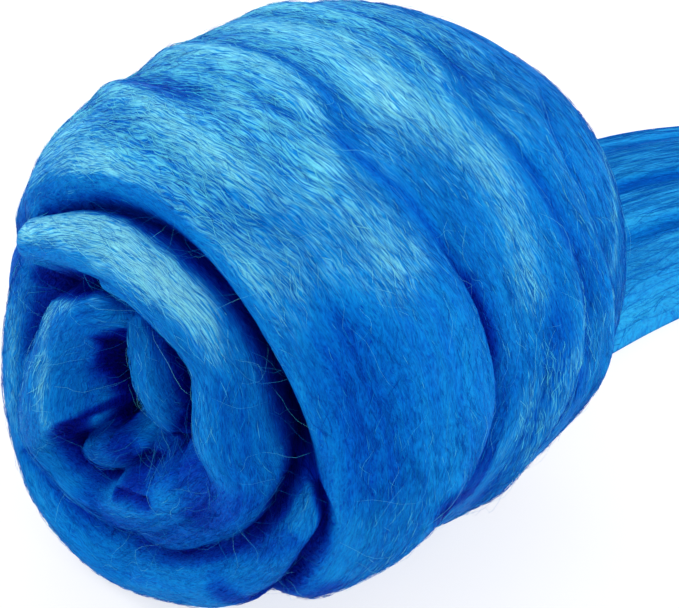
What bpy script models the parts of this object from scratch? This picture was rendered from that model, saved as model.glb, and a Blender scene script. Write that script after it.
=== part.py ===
"""A wound ball of wool roving, lying on its side, with its loose end laid out behind it.

Metres, +Z up. The origin is the middle of the flat spot that the ball rests on. The roving is wound round the
Y axis: the end of the ball towards -Y shows the rolled folds of the first turns, like a rose, and the loose end
leaves from under the end towards +Y.

A place on the ball is given by two angles about the ball's centre. The cone angle is counted from the -Y end
(0) over the widest girth (90) to the +Y end (180). The clock angle is counted round the Y axis, from +X (0) to
+Z (90), -X (180) and the floor (270).
"""

import math

import bmesh
import bpy
import numpy as np

MM = 0.001
CENTRE_HEIGHT = 62.0  # the ball's centre above the floor; the flat spot is what this cuts off the girth
CLEARANCE = 0.5  # between the ball and the loose end; facets take up to 0.2 of it
BISECTIONS = 14

# The plain form of the ball: its radius in mm at eight clock angles, a row for each cone angle.
SECTION_STEP = 20
SECTIONS = (
    # cone, right, upper_right, top, upper_left, left, lower_left, bottom, lower_right
    (0, 68, 68, 68, 68, 68, 68, 68, 68),
    (20, 71, 73, 75, 74, 71, 68, 67, 69),
    (40, 76, 79, 81, 76, 68, 66, 70, 72),
    (60, 71, 75, 78, 73, 68, 65, 66, 64),
    (80, 65, 67, 69, 67, 63, 62, 64, 60),
    (100, 66, 66, 69, 67, 63, 63, 65, 62),
    (120, 71, 70, 72, 71, 68, 68, 69, 68),
    (140, 77, 78.5, 75.5, 76, 75, 74, 74, 74),
    (160, 79, 80, 80, 79, 77, 76, 76, 77),
    (180, 78, 78, 78, 78, 78, 78, 78, 78),
)

# Edges, ridges and grooves of the outer turns. Each runs round the ball from one clock angle to another, through
# six cone angles at even steps. A step is the rounded edge of a turn that lies over the next one.
TURNS = (
    # name, kind, height_mm, width_mm, from_clock, to_clock, cone angles
    ("front_turn_edge", "step", 5.0, 9.0, -62, 90, (57, 64, 79, 80, 75.5, 70.5)),
    ("middle_turn_edge", "step", 3.0, 7.0, -25, 66, (119, 120, 121, 121, 123, 137)),
    ("under_hollow", "ridge", -3.5, 6.0, -75, 18, (64, 65, 67, 71, 78, 86)),
    ("upper_pleat", "ridge", 2.0, 5.0, 50, 140, (61, 57, 57, 62, 69, 76)),
    ("upper_hollow", "ridge", -2.6, 5.5, 80, 130, (62, 66, 68, 70, 73, 77)),
    ("lower_pleat", "ridge", 2.0, 5.5, 55, 140, (66, 75, 80, 81, 85, 90)),
    ("right_pleat", "ridge", 2.6, 4.0, -45, 34, (92, 91, 92, 100, 104, 106)),
    ("right_hollow", "ridge", -1.8, 4.0, -8, 60, (98, 106, 111, 110, 109, 110)),
    ("top_hollow", "ridge", -3.2, 5.0, 58, 120, (121, 117, 114, 112, 112, 114)),
    ("top_pleat", "ridge", 1.8, 4.5, 52, 130, (103, 107, 110, 107, 106, 106)),
    ("left_turn_edge", "step", 4.0, 8.0, 148, 292, (70, 76, 82, 85, 78, 66)),
    ("left_far_edge", "step", 3.0, 7.0, 125, 330, (114, 119, 124, 121, 116, 119)),
    ("left_pleat", "ridge", 1.8, 5.0, 140, 262, (93, 97, 101, 105, 102, 98)),
    ("left_notch", "ridge", -5.5, 9.0, 134, 180, (50, 50, 50, 50, 49, 48)),
    ("left_hollow", "ridge", -2.4, 4.5, 146, 268, (56, 59, 64, 66, 62, 56)),
)

# The mouth that the rolled folds lie in: the cone angle of its lip at clock angles 0, 60, ... 300.
MOUTH = (43.5, 42.5, 45.5, 44.5, 43, 43.5, 45, 46)
MOUTH_DEPTH = 16.0
FAR_MOUTH_DEPTH = 8.0
LIP_RADIUS = 8.0
LIP_WALL = 4.5
FAR_MOUTH = (33, 34, 33, 32, 33, 34)  # the same at the +Y end, counted from that end

# Rolled folds in the mouth, each a rounded strand through a few places: to the right of and above the ball's
# centre, towards the front, and the strand's radius, all in mm.
FOLDS = (
    ("hoop", ((45, -4, 50, 3.5), (41, -15, 50, 6), (30, -30, 49, 7.5), (16, -42, 49, 8), (0, -50, 48, 8),
              (-16, -55, 47, 7.5), (-29, -52, 47, 7.5), (-40, -46, 46, 7), (-46, -36, 45, 6.5), (-49, -23, 45, 6),
              (-48, -7, 46, 5), (-44, 10, 47, 4.5), (-38, 22, 49, 4))),
    ("collar", ((-33, 30, 53, 5.5), (-25, 34, 54, 6), (-17, 37, 54, 7), (-8, 39, 54, 7.5), (1, 38.5, 54, 8.5),
                (10.5, 35, 54, 9.5), (18.5, 30, 54, 9), (23.5, 22.5, 54, 8.5), (25.5, 14, 54, 9.5),
                (27, 6, 54, 10.5), (28, -3, 53, 9.5), (23, -14, 52, 8.5), (13, -25, 51, 7.5), (2, -34, 50, 6.5),
                (-7, -37, 49, 4.5))),
    ("lower_band", ((21, -8, 53, 8), (10, -19, 52, 8.5), (-2, -28, 51, 8.5), (-13, -35, 50, 6.5), (-24, -38, 49, 4.5))),
    ("collar_step", ((-9, 31, 55, 3), (-2, 31, 55, 3.5), (3, 27, 54, 3))),
    ("left_lobe", ((-17, 23, 51, 6), (-21, 15, 52, 8), (-28, 2, 52, 7.5), (-30, -10, 52, 9.5), (-37, -25, 51, 6.5),
                   (-34, -33, 50, 5), (-25, -37, 50, 5), (-14, -37, 50, 5), (-5, -37, 50, 4))),
    ("knob", ((-23, 15, 54, 4), (-18, 19, 54, 5), (-13, 22, 54, 4.5))),
    ("tongue", ((-6, 19, 50, 3), (-3, 13, 51, 4.5), (-1, 5, 51, 5), (2, -2, 50, 4.5), (6, -7, 49, 2.5))),
    ("heart", ((-28, -25, 48, 3), (-20, -24, 49, 4.5), (-13, -20, 49, 5), (-6, -16, 48, 3.5))),
    ("inner_lap", ((-1, -15, 49, 3), (6, -16, 49, 3.5), (12, -16, 49, 3))),
    ("lower_lap", ((-18, -33, 49, 2.5), (-10, -27, 50, 3), (-2, -26, 50, 3), (6, -25, 50, 3))),
)
FAR_COIL_TURNS = 2.3
FAR_COIL_FROM = (37.0, 9.5)  # distance from the axis and strand radius where the coil starts
FAR_COIL_TO = (5.0, 6.5)
FAR_COIL_FRONT = 62.0
FOLD_SAMPLES = 6
FOLD_SKIRT = 1.5  # how steeply a fold's side goes on down past its widest line
CREASE = 0.9  # how far neighbouring forms run into each other where they meet

# Ball mesh
ROUND_STEPS = 72
ROW_CONES = ((0, 0), (24, 48), (40, 130), (54, 180))  # row number, cone angle; even steps between

# Loose end: its middle line on the floor, width and thickness, a row for each section, all in mm.
LOOSE_END = (
    # right, back, width, thickness
    (-18, 42, 50, 12),
    (-18, 52, 57, 22),
    (-18, 66, 63, 27),
    (-18, 84, 68, 26),
    (-17, 104, 71, 24),
    (-14, 128, 72, 23),
    (-8, 153, 72, 22),
    (3, 176, 69, 20),
    (20, 196, 63, 17),
    (41, 210, 52, 13),
    (62, 217, 37, 9),
    (77, 219, 18, 4),
)
LEAN = 0.22  # how much thicker the loose end is on its left than in its middle, and thinner on its right
PLEATS = ((0.24, 2.6), (0.50, 3.2), (0.74, 2.4))  # place across the width and depth in mm of its lengthwise pleats
PLEAT_WIDTH = 0.05
END_LENGTH_STEPS = 44
END_TOP_STEPS = 22

BLUE = (0.012, 0.19, 0.60, 1.0)
END_BLUE = (0.012, 0.17, 0.56, 1.0)


# ---------------------------------------------------------------- curves and forms

def catmull_rom(a, b, c, d, t):
    """The smooth curve from b to c, where t goes from 0 to 1."""
    return 0.5 * (2 * b + (c - a) * t + (2 * a - 5 * b + 4 * c - d) * t**2 + (3 * b - a - 3 * c + d) * t**3)


def along(values, place):
    """A smooth value at a place on an open row of values, where place counts them from 0."""
    values = np.asarray(values, float)
    place = np.clip(place, 0, len(values) - 1)
    low = np.minimum(place.astype(int), len(values) - 2)
    around = [values[np.clip(low + k, 0, len(values) - 1)] for k in (-1, 0, 1, 2)]
    return catmull_rom(*around, place - low)


def around(values, clock):
    """A smooth value at a clock angle on a closed ring of evenly spaced values."""
    values = np.asarray(values, float)
    place = (clock % 360) * len(values) / 360
    low = np.floor(place).astype(int)
    ring = [values[(low + k) % len(values)] for k in (-1, 0, 1, 2)]
    return catmull_rom(*ring, place - low)


def ramp(x):
    """A smooth step from 0 to 1 as x goes from 0 to 1."""
    x = np.clip(x, 0, 1)
    return x * x * (3 - 2 * x)


def soft_max(a, b, softness):
    """The larger of two heights, with the crease between them filled a little."""
    return np.maximum(a, b) + softness * np.exp(-np.abs(a - b) / softness) * 0.5


def plain_radius(cone, clock):
    """The radius of the plain ball, without its turns."""
    rings = [around(row[1:], clock) for row in SECTIONS]
    rings = [around(SECTIONS[1][1:], clock + 180)] + rings + [around(SECTIONS[-2][1:], clock + 180)]
    rings = np.array(rings)
    place = cone / SECTION_STEP + 1
    low = np.minimum(place.astype(int), len(rings) - 3)
    index = np.arange(len(cone))
    near = [rings[low + k, index] for k in (-1, 0, 1, 2)]
    return catmull_rom(*near, place - low)


def turn_relief(cone, clock, radius):
    """The edges, ridges and hollows of the outer turns."""
    height = np.zeros_like(cone)
    for _, kind, tall, wide, first, last, cones in TURNS:
        turn = (clock - first) % 360
        span = last - first
        line = along(cones, turn / span * (len(cones) - 1))
        fade = ramp(turn / 22) * ramp((span - turn) / 22)
        away = np.radians(cone - line) * radius
        if kind == "step":
            inside = np.clip(-away / wide, 0, 1)
            shoulder = np.sqrt(1 - (1 - inside) ** 2)
            height += tall * fade * (shoulder * ramp(1 + (away + wide) / 34) - 0.35 * np.exp(-(away / 3.0) ** 2))
        else:
            height += tall * fade * np.exp(-(away / wide) ** 2)
    return height


def mouth_drop(from_end, clock, radius, lips, depth):
    """How far the surface drops inside the lip of a mouth."""
    away = np.radians(from_end - around(lips, clock)) * radius
    lip = LIP_RADIUS * 0.55 * (1 - np.sqrt(1 - (1 - np.clip(away / LIP_RADIUS, 0, 1)) ** 2))
    return lip + (depth - LIP_RADIUS * 0.55) * ramp(-away / LIP_WALL)


def strand_points(rows):
    """Centres and radii of balls set close together along a fold's smooth middle line."""
    rows = np.array(rows, float)
    place = np.linspace(0, len(rows) - 1, (len(rows) - 1) * FOLD_SAMPLES + 1)
    columns = [along(rows[:, k], place) for k in range(4)]
    return np.stack([columns[0], -columns[2], columns[1]], -1), columns[3]


def far_coil():
    """The coil of turns at the +Y end."""
    t = np.linspace(0, 1, 90)
    turn = 2 * math.pi * FAR_COIL_TURNS * t + math.radians(200)
    out = FAR_COIL_FROM[0] + (FAR_COIL_TO[0] - FAR_COIL_FROM[0]) * t**0.85
    thick = FAR_COIL_FROM[1] + (FAR_COIL_TO[1] - FAR_COIL_FROM[1]) * t
    front = FAR_COIL_FRONT - thick + 3.5 * np.sin(turn * 0.7)
    return np.stack([out * np.cos(turn), front, out * np.sin(turn)], -1), thick


def fold_reach(facing, centres, radii):
    """How far a strand reaches from the ball's centre in each direction."""
    forward = facing @ centres.T
    aside = np.sqrt(np.maximum((centres**2).sum(-1) - forward**2, 0))
    off = aside / radii
    cap = radii * np.sqrt(np.maximum(1 - off**2, 0))
    reach = forward + np.where(off < 1, cap, -FOLD_SKIRT * radii * (off - 1))
    return np.where(forward > 0, reach, 0).max(axis=1)


def ball_radius(facing):
    """The ball's radius in mm in each direction."""
    cone = np.degrees(np.arccos(np.clip(-facing[:, 1], -1, 1)))
    clock = np.degrees(np.arctan2(facing[:, 2], facing[:, 0]))
    plain = plain_radius(cone, clock)
    radius = plain + turn_relief(cone, clock, plain)
    radius -= mouth_drop(cone, clock, plain, MOUTH, MOUTH_DEPTH)
    radius -= mouth_drop(180 - cone, clock, plain, FAR_MOUTH, FAR_MOUTH_DEPTH)
    for _, rows in FOLDS:
        radius = soft_max(radius, fold_reach(facing, *strand_points(rows)), CREASE)
    return soft_max(radius, fold_reach(facing, *far_coil()), CREASE)


# ---------------------------------------------------------------- pieces

def wool(name, colour):
    """A soft, matt wool material."""
    made = bpy.data.materials.new(name)
    made.use_nodes = True
    shader = made.node_tree.nodes["Principled BSDF"]
    shader.inputs["Base Color"].default_value = colour
    shader.inputs["Roughness"].default_value = 0.85
    shader.inputs["Metallic"].default_value = 0.0
    shader.inputs["Sheen Weight"].default_value = 0.4
    return made


def add_object(name, bm, material):
    """Turns a bmesh into a named, smooth object."""
    bmesh.ops.recalc_face_normals(bm, faces=bm.faces)
    mesh = bpy.data.meshes.new(name)
    bm.to_mesh(mesh)
    bm.free()
    mesh.shade_smooth()
    mesh.materials.append(material)
    made = bpy.data.objects.new(name, mesh)
    bpy.context.scene.collection.objects.link(made)
    return made


def make_ball():
    """The wound ball: one closed solid."""
    rows = ROW_CONES[-1][0]
    bm = bmesh.new()
    bmesh.ops.create_uvsphere(bm, u_segments=ROUND_STEPS, v_segments=rows, radius=1.0)
    places = np.array([v.co for v in bm.verts])
    row = np.degrees(np.arccos(np.clip(places[:, 2], -1, 1))) / 180 * rows
    cone = np.radians(np.interp(row, *zip(*ROW_CONES)))
    turn = np.arctan2(places[:, 1], places[:, 0])
    facing = np.stack([np.sin(cone) * np.cos(turn), -np.cos(cone), np.sin(cone) * np.sin(turn)], -1)
    places = facing * ball_radius(facing)[:, None]
    places[:, 2] = np.maximum(places[:, 2] + CENTRE_HEIGHT, 0)
    for vert, place in zip(bm.verts, places):
        vert.co = place * MM
    bmesh.ops.triangulate(bm, faces=bm.faces)
    return add_object("ball", bm, wool("ball_wool", BLUE))


def loose_end_section(width, thick):
    """The outline of the loose end's cross-section from left to right: the places across it and the top."""
    across = np.linspace(0, 1, END_TOP_STEPS + 1)
    crown = (1 - np.abs(2 * across - 1) ** 2.6) ** 0.5
    pleats = sum(deep * np.exp(-(((across - at) / PLEAT_WIDTH) ** 2)) for at, deep in PLEATS)
    top = crown * thick * (1 + LEAN * (1 - 2 * across) - pleats / LOOSE_END[4][3])
    return (across - 0.5) * width, np.maximum(top, 0)


def clear_of_ball(places):
    """Lowers places, in mm, that would be inside the ball until they lie just under it."""
    low = np.zeros(len(places))
    high = places[:, 2].copy()
    for _ in range(BISECTIONS):
        middle = (low + high) / 2
        arm = np.stack([places[:, 0], places[:, 1], middle - CENTRE_HEIGHT], -1)
        reach = np.linalg.norm(arm, axis=1)
        inside = reach < ball_radius(arm / reach[:, None]) + CLEARANCE
        high = np.where(inside, middle, high)
        low = np.where(inside, low, middle)
    return np.stack([places[:, 0], places[:, 1], low], -1)


def make_loose_end():
    """The loose end: a thick, pleated band that lies on the floor."""
    rows = np.array(LOOSE_END, float)
    place = np.linspace(0, len(rows) - 1, END_LENGTH_STEPS + 1)
    right, back, wide, thick = (along(rows[:, k], place) for k in range(4))
    heading = np.stack([np.gradient(right), np.gradient(back)], -1)
    heading /= np.linalg.norm(heading, axis=1)[:, None]
    bm = bmesh.new()
    rings = []
    for k in range(len(place)):
        aside, top = loose_end_section(wide[k], thick[k])
        x = right[k] + heading[k, 1] * aside
        y = back[k] - heading[k, 0] * aside
        over = clear_of_ball(np.stack([x, y, top], -1))
        under = np.stack([x, y, 0 * top], -1)[-2:0:-1]
        rings.append([bm.verts.new(p * MM) for p in np.concatenate([over, under])])
    for one, two in zip(rings, rings[1:]):
        for k in range(len(one)):
            bm.faces.new((one[k - 1], one[k], two[k], two[k - 1]))
    for ring in (rings[0], rings[-1]):
        bm.faces.new(ring)
    bmesh.ops.triangulate(bm, faces=bm.faces)
    return add_object("loose_end", bm, wool("loose_end_wool", END_BLUE))


def main():
    for old in list(bpy.data.objects):
        bpy.data.objects.remove(old, do_unlink=True)
    make_ball()
    make_loose_end()


main()
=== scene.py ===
"""A wound ball of wool roving with its loose end laid out behind it, dressed for rendering.

Lengths are in millimetres inside the form functions and in metres on every mesh. The roving is wound round the
Y axis. A place on the ball is given by a cone angle, from the open end towards -Y (0) over the widest girth
(90) to the far end (180), and by a clock angle round the Y axis, from +X (0) to +Z (90).
"""

import math

import bmesh
import bpy
import numpy as np
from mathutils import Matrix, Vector, noise
from mathutils.bvhtree import BVHTree


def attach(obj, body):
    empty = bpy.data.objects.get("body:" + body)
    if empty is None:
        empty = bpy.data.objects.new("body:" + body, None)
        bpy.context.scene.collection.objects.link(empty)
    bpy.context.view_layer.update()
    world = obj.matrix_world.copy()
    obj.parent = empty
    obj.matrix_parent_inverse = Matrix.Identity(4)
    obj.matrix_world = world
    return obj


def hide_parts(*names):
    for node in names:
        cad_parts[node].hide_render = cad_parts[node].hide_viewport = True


bl_info = {
    "name": "Wool Roving Ball",
    "version": (1, 0, 0),
    "blender": (4, 5, 0),
    "location": "View3D > Sidebar > Roving",
    "description": "Makes a wound ball of wool roving with its loose end, its fibres and a plain stage",
    "category": "Add Mesh",
}

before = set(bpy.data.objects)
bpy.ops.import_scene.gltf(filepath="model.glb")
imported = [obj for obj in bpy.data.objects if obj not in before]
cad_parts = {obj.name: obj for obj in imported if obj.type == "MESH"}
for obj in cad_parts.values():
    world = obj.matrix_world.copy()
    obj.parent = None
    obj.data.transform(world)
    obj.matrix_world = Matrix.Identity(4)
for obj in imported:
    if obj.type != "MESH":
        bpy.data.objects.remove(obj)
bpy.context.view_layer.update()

MM = 0.001
CENTRE_HEIGHT = 62.0
BODY = "root"

# ---------------------------------------------------------------- the ball's form, in mm

SECTION_STEP = 20
SECTIONS = (
    # cone, right, upper_right, top, upper_left, left, lower_left, bottom, lower_right
    (0, 68, 68, 68, 68, 68, 68, 68, 68),
    (20, 71, 73, 75, 74, 71, 68, 67, 69),
    (40, 76, 79, 81, 76, 68, 66, 70, 72),
    (60, 71, 75, 78, 73, 68, 65, 66, 64),
    (80, 65, 67, 69, 67, 63, 62, 64, 60),
    (100, 66, 66, 69, 67, 63, 63, 65, 62),
    (120, 71, 70, 72, 71, 68, 68, 69, 68),
    (140, 77, 78.5, 75.5, 76, 75, 74, 74, 74),
    (160, 79, 80, 80, 79, 77, 76, 76, 77),
    (180, 78, 78, 78, 78, 78, 78, 78, 78),
)

TURNS = (
    # name, kind, height_mm, width_mm, from_clock, to_clock, cone angles
    ("front_turn_edge", "step", 5.0, 9.0, -62, 50, (57, 61.8, 72, 79.5, 80, 77)),
    ("front_turn_rise", "step", 2.0, 9.0, 20, 92, (80, 79.3, 77.2, 74.6, 72, 70)),
    ("middle_turn_edge", "step", 3.0, 7.0, -25, 66, (119, 120, 121, 121, 123, 137)),
    ("under_hollow", "ridge", -3.5, 6.0, -75, 18, (64, 65, 67, 71, 78, 86)),
    ("upper_pleat", "ridge", 2.0, 5.0, 50, 140, (61, 57, 57, 62, 69, 76)),
    ("upper_hollow", "ridge", -2.6, 5.5, 80, 130, (62, 66, 68, 70, 73, 77)),
    ("lower_pleat", "ridge", 2.0, 5.5, 55, 140, (66, 75, 80, 81, 85, 90)),
    ("right_pleat", "ridge", 2.6, 4.0, -45, 34, (92, 91, 92, 100, 104, 106)),
    ("right_hollow", "ridge", -1.8, 4.0, -8, 60, (98, 106, 111, 110, 109, 110)),
    ("top_hollow", "ridge", -3.2, 5.0, 58, 120, (121, 117, 114, 112, 112, 114)),
    ("top_pleat", "ridge", 1.8, 4.5, 52, 130, (103, 107, 110, 107, 106, 106)),
    ("left_turn_edge", "step", 4.0, 8.0, 148, 292, (70, 76, 82, 85, 78, 66)),
    ("left_far_edge", "step", 3.0, 7.0, 125, 330, (114, 119, 124, 121, 116, 119)),
    ("left_pleat", "ridge", 1.8, 5.0, 140, 262, (93, 97, 101, 105, 102, 98)),
    ("left_notch", "ridge", -5.5, 9.0, 134, 180, (50, 50, 50, 50, 49, 48)),
    ("left_hollow", "ridge", -2.4, 4.5, 146, 268, (56, 59, 64, 66, 62, 56)),
)
TURN_FADE = 22  # degrees over which a turn's edge or ridge rises and dies away

# The mouths at the ball's two ends: the lip's cone angle at even clock angles, the depths and the lip's shape.
MOUTH = (43.5, 42.5, 45.5, 44.5, 43, 43.5, 45, 46)
FAR_MOUTH = (33, 34, 33, 32, 33, 34)
MOUTH_DEPTH = 23.0
FAR_MOUTH_DEPTH = 8.0
LIP_RADIUS = 8.0
LIP_SAG = 0.55 * LIP_RADIUS  # how far the rounded lip falls before the wall
LIP_WALL = 5.0
MEAN_RADIUS = 68.0
STEP_BACK = 34.0  # mm over which the top of a turn's step runs out again
STEP_FOOT = (0.35, 3.0)  # share of the step's height by which its foot is cut in, and over how many mm

FOLDS = (
    # name, then right of and above the ball's centre, towards the front, and radius
    ("hoop", ((45, -4, 50, 3.5), (41, -15, 50, 6), (30, -30, 49, 7.5), (16, -42, 49, 8), (0, -50, 48, 8),
              (-16, -55, 47, 7.5), (-29, -52, 47, 7.5), (-40, -46, 46, 7), (-46, -36, 45, 6.5),
              (-49, -23, 45, 6), (-48, -7, 46, 5), (-44, 10, 47, 4.5), (-38, 22, 49, 4))),
    ("collar", ((-33, 30, 53, 5.5), (-25, 34, 54, 6), (-17, 37, 54, 7), (-8, 39, 54, 7.5), (1, 38.5, 54, 8.5),
                (10.5, 35, 54, 9.5), (18.5, 30, 54, 9), (23.5, 22.5, 54, 8.5), (25.5, 14, 54, 9.5),
                (27, 6, 54, 10.5), (28, -3, 53, 9.5), (23, -14, 52, 8.5), (13, -25, 51, 7.5),
                (2, -34, 50, 6.5), (-7, -37, 49, 4.5))),
    ("lower_band", ((21, -8, 53, 8), (10, -19, 52, 8.5), (-2, -28, 51, 8.5), (-13, -35, 50, 6.5),
                    (-24, -38, 49, 4.5))),
    ("collar_step", ((-9, 31, 55, 3), (-2, 31, 55, 3.5), (3, 27, 54, 3))),
    ("left_lobe", ((-17, 23, 51, 6), (-21, 15, 52, 8), (-28, 2, 52, 7.5), (-30, -10, 52, 9.5),
                   (-37, -25, 51, 6.5), (-34, -33, 50, 5), (-25, -37, 50, 5), (-14, -37, 50, 5),
                   (-5, -37, 50, 4))),
    ("knob", ((-23, 15, 54, 4), (-18, 19, 54, 5), (-13, 22, 54, 4.5))),
    ("tongue", ((-6, 19, 50, 3), (-3, 13, 51, 4.5), (-1, 5, 51, 5), (2, -2, 50, 4.5), (6, -7, 49, 2.5))),
    ("heart", ((-28, -25, 48, 3), (-20, -24, 49, 4.5), (-13, -20, 49, 5), (-6, -16, 48, 3.5))),
    ("inner_lap", ((-1, -15, 49, 3), (6, -16, 49, 3.5), (12, -16, 49, 3))),
    ("lower_lap", ((-18, -33, 49, 2.5), (-10, -27, 50, 3), (-2, -26, 50, 3), (6, -25, 50, 3))),
)

# A crease is cut in by its depth and given painted shade by its darkness, where 1 is a deep hollow between the
# folds.
CREASES = (
    # name, darkness, depth, then right of and above the centre, towards the front, and half width
    ("pocket", 2.8, 5, ((-15, 11, 56, 2.5), (-15, 9, 53, 4.5), (-17, 4, 51, 5), (-17, -2, 49, 4.5),
                        (-15, -7, 47, 3.5), (-16, -14, 47, 2.5))),
    ("under_knob", 1.3, 2, ((-10, 15, 52, 1.5), (-13, 12, 53, 2.5))),
    ("lobe_end", 2, 3, ((-23, -14, 58, 1.5), (-26, -19, 57, 2.5), (-29, -27, 51, 3.5), (-25, -29, 50, 3),
                        (-19, -30, 50, 2.2), (-12, -27, 53, 1.5))),
    ("under_lobe", 1.2, 2, ((-23, -14, 58, 1), (-20, -12, 54, 1.5), (-17, -10, 50, 2))),
    ("heart_core", 0.5, 2, ((-17, -8, 50, 2), (-17, -13, 48, 2.5), (-16, -16, 50, 2))),
    ("second_pocket", 1.1, 3, ((2, 14, 49, 2), (4, 9, 47, 4), (5, 5, 47, 4), (6, 0, 48, 3), (7, -4, 51, 2))),
    ("blotch", 1.1, 1, ((-7, -20, 51, 1.5), (-3, -17, 52, 2), (2, -15, 52, 1.5))),
    ("under_collar", 0.8, 2, ((6, -7, 52, 2), (8, -8, 51, 2), (10, -9, 53, 2))),
    ("triangle", 1.1, 2, ((-10, -28, 57, 1.2), (-4, -25, 58, 1.8), (3, -22, 60, 1.5))),
    ("left_notch", 1.2, 3, ((-36, 18, 51, 3.5), (-33, 17, 49, 4.5), (-20, 26, 55, 4), (-15, 28, 54, 2.5))),
    ("left_groove", 0.9, 2, ((-35, 14, 48, 4), (-39, 7, 48, 3.5), (-42, 0, 49, 2.5), (-44, -7, 49, 2))),
    ("outer_left", 1, 3, ((-44, -36, 51, 1.5), (-39, -42, 51, 1.5), (-28, -45, 51, 2), (-15, -45, 50, 2.5),
                          (-9, -46, 50, 3))),
    ("outer_low", 1.2, 2, ((-9, -46, 50, 2), (1, -41, 52, 2), (12, -37, 53, 2), (24, -29, 54, 2),
                           (32, -19, 54, 2.5), (38, -10, 53, 3))),
    ("outer_right", 0.45, 3, ((37, -9, 52, 4), (41, -1, 50, 4.5), (37, 2, 43, 4), (32, 5, 39, 3.5),
                              (31, 13, 43, 3.5))),
    ("under_lip", 0.2, 1, ((31, 13, 43, 4), (28, 23, 46, 4.5), (23, 32, 47, 5), (16, 38, 48, 5),
                           (12, 47, 55, 3), (3, 49, 55, 3), (-5, 51, 56, 2))),
    ("hoop_edge", 1, 4, ((44, -1, 50, 2), (48, -4, 51, 2), (48, -10, 50, 2), (45, -19, 52, 2.5),
                         (38, -32, 51, 2.5), (30, -41, 51, 3))),
    ("hoop_fold", 0.3, 1, ((4, -41, 53, 2.5), (16, -35, 54, 2.5), (27, -27, 55, 2.5), (37, -20, 56, 2.5),
                           (43, -15, 56, 2))),
    ("main_crease", 0.45, 0, ((54, 35, 10, 1.5), (57, 29, 10, 2), (60, 21, 10, 2.5), (65, 13, 13, 2.5),
                              (65, 3, 13, 2.5), (62, -9, 11, 2.5), (57, -21, 12, 2))),
)

# Broad patches of painted shade, which makes the blue deeper, and painted highlight, which makes it paler.
PATCHES = (
    # name, how much painted shade (over 0) or painted highlight (under 0), then right, above, front and half
    # width
    ("upper_front", 0.04, ((-18, 61, 45, 5.5), (5, 62, 51, 6.5), (24, 60, 50, 6.5), (38, 53, 44, 5))),
    ("front_sheen", -0.16, ((18, 68, 24, 6), (30, 62, 29, 7), (40, 55, 28, 7), (48, 47, 26, 6))),
    ("middle_top", -0.2, ((20, 65, -2, 6.5), (34, 57, -9, 6.5), (46, 47, -11, 5.5), (54, 36, -8, 5.5),
                          (60, 26, -6, 5))),
    ("right_side", -0.08, ((49, 42, -31, 6.5), (60, 25, -25, 6.5), (67, 11, -11, 6.5), (64, -9, 1, 6))),
    ("far_rim", -0.2, ((41, 29, -61, 2), (50, 23, -53, 2), (56, 15, -46, 2), (64, 9, -33, 2))),
    ("front_low", 0.24, ((48, 40, 45, 6.5), (55, 24, 47, 8), (58, 4, 46, 7.5))),
    ("notch_shade", 0.9, ((65, -11, 29, 3), (62, -18, 23, 3.5), (58, -23, 15, 3.5))),
    ("collar_low", 0.14, ((30, 20, 61, 4), (34, 8, 62, 5), (35, -4, 61, 5))),
    ("lobe_inside", 0.12, ((-15, 20, 59, 4.5), (-20, 4, 56, 5.5), (-21, -8, 56, 4))),
    ("lower_inside", 0.55, ((-12, -16, 52, 4), (-5, -21, 55, 4), (4, -12, 53, 5.5), (21, -6, 61, 5.5),
                            (18, -18, 60, 3.5))),
    ("upper_left", 0.12, ((-34, 44, 51, 5), (-27, 55, 47, 5.5), (-17, 65, 40, 4.5))),
    ("collar_glint", -0.18, ((-8, 39, 62, 3), (2, 41, 62, 4), (12, 40, 62, 4), (20, 37, 61, 3.5),
                             (26, 30, 61, 3))),
    ("left_rim", -0.12, ((-32, 35, 57, 2), (-44, 11, 52, 2), (-48, -5, 51, 2), (-49, -28, 51, 2))),
    ("lobe_rim", -0.25, ((-27, 16, 57, 1.5), (-28, 6, 59, 1.5), (-28, -7, 61, 1.5), (-28, -21, 57, 1.5))),
    ("left_hoop", -0.05, ((-43, 9, 51, 4), (-46, -7, 51, 4), (-47, -22, 51, 4), (-45, -35, 51, 4),
                          (-38, -46, 53, 3))),
    ("lower_lap", 0.3, ((-20, -36, 54, 4), (-7, -38, 55, 4.5), (9, -31, 57, 5), (23, -20, 59, 5),
                        (32, -8, 60, 4))),
    ("heart", 0.35, ((-20, -29, 50, 4), (-15, -18, 50, 4.5), (-7, -19, 52, 4), (1, -21, 58, 4))),
    ("low_right", -0.13, ((61, -17, 4, 6), (65, -7, -1, 6.5), (68, 2, -8, 6.5), (66, 7, -22, 6.5))),
    ("bottom", 0.5, ((23, -40, 56, 3.5), (33, -42, 47, 3.5), (47, -32, 47, 3))),
)

FOLD_SAMPLES = 8  # balls of a fold between two of its rows
FOLD_SKIRT = 3.2  # how steeply a fold's side falls away past its edge
CREASE = 0.5  # mm over which a fold meets what lies under it
FRONT_CONE = 62  # beyond this cone angle no front fold reaches
FAR_CONE = 126  # the far coil lies beyond this one
FAR_COIL_TURNS = 2.3
FAR_COIL_FROM = (37.0, 9.5)
FAR_COIL_TO = (5.0, 6.5)
FAR_COIL_FRONT = 62.0

# ---------------------------------------------------------------- the loose end's form, in mm

LOOSE_END = (
    # right, back, width, thickness
    (-18, 42, 50, 12),
    (-18, 52, 57, 22),
    (-18, 66, 63, 27),
    (-18, 84, 68, 26),
    (-17, 104, 71, 24),
    (-14, 128, 72, 23),
    (-8, 153, 72, 22),
    (3, 176, 69, 20),
    (20, 196, 63, 17),
    (41, 210, 52, 13),
    (62, 217, 37, 9),
    (77, 219, 18, 4),
)
LEAN = 0.22  # how much thicker the near side is than the middle, as a share
PLEATS = ((0.24, 2.6), (0.50, 3.2), (0.74, 2.4))  # place across from 0 to 1, depth
PLEAT_WIDTH = 0.05
FULL_THICKNESS = 24.0  # where the pleats are as deep as they are given
CLEARANCE = 0.5  # left between the loose end and the ball
BISECTIONS = 14


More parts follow.
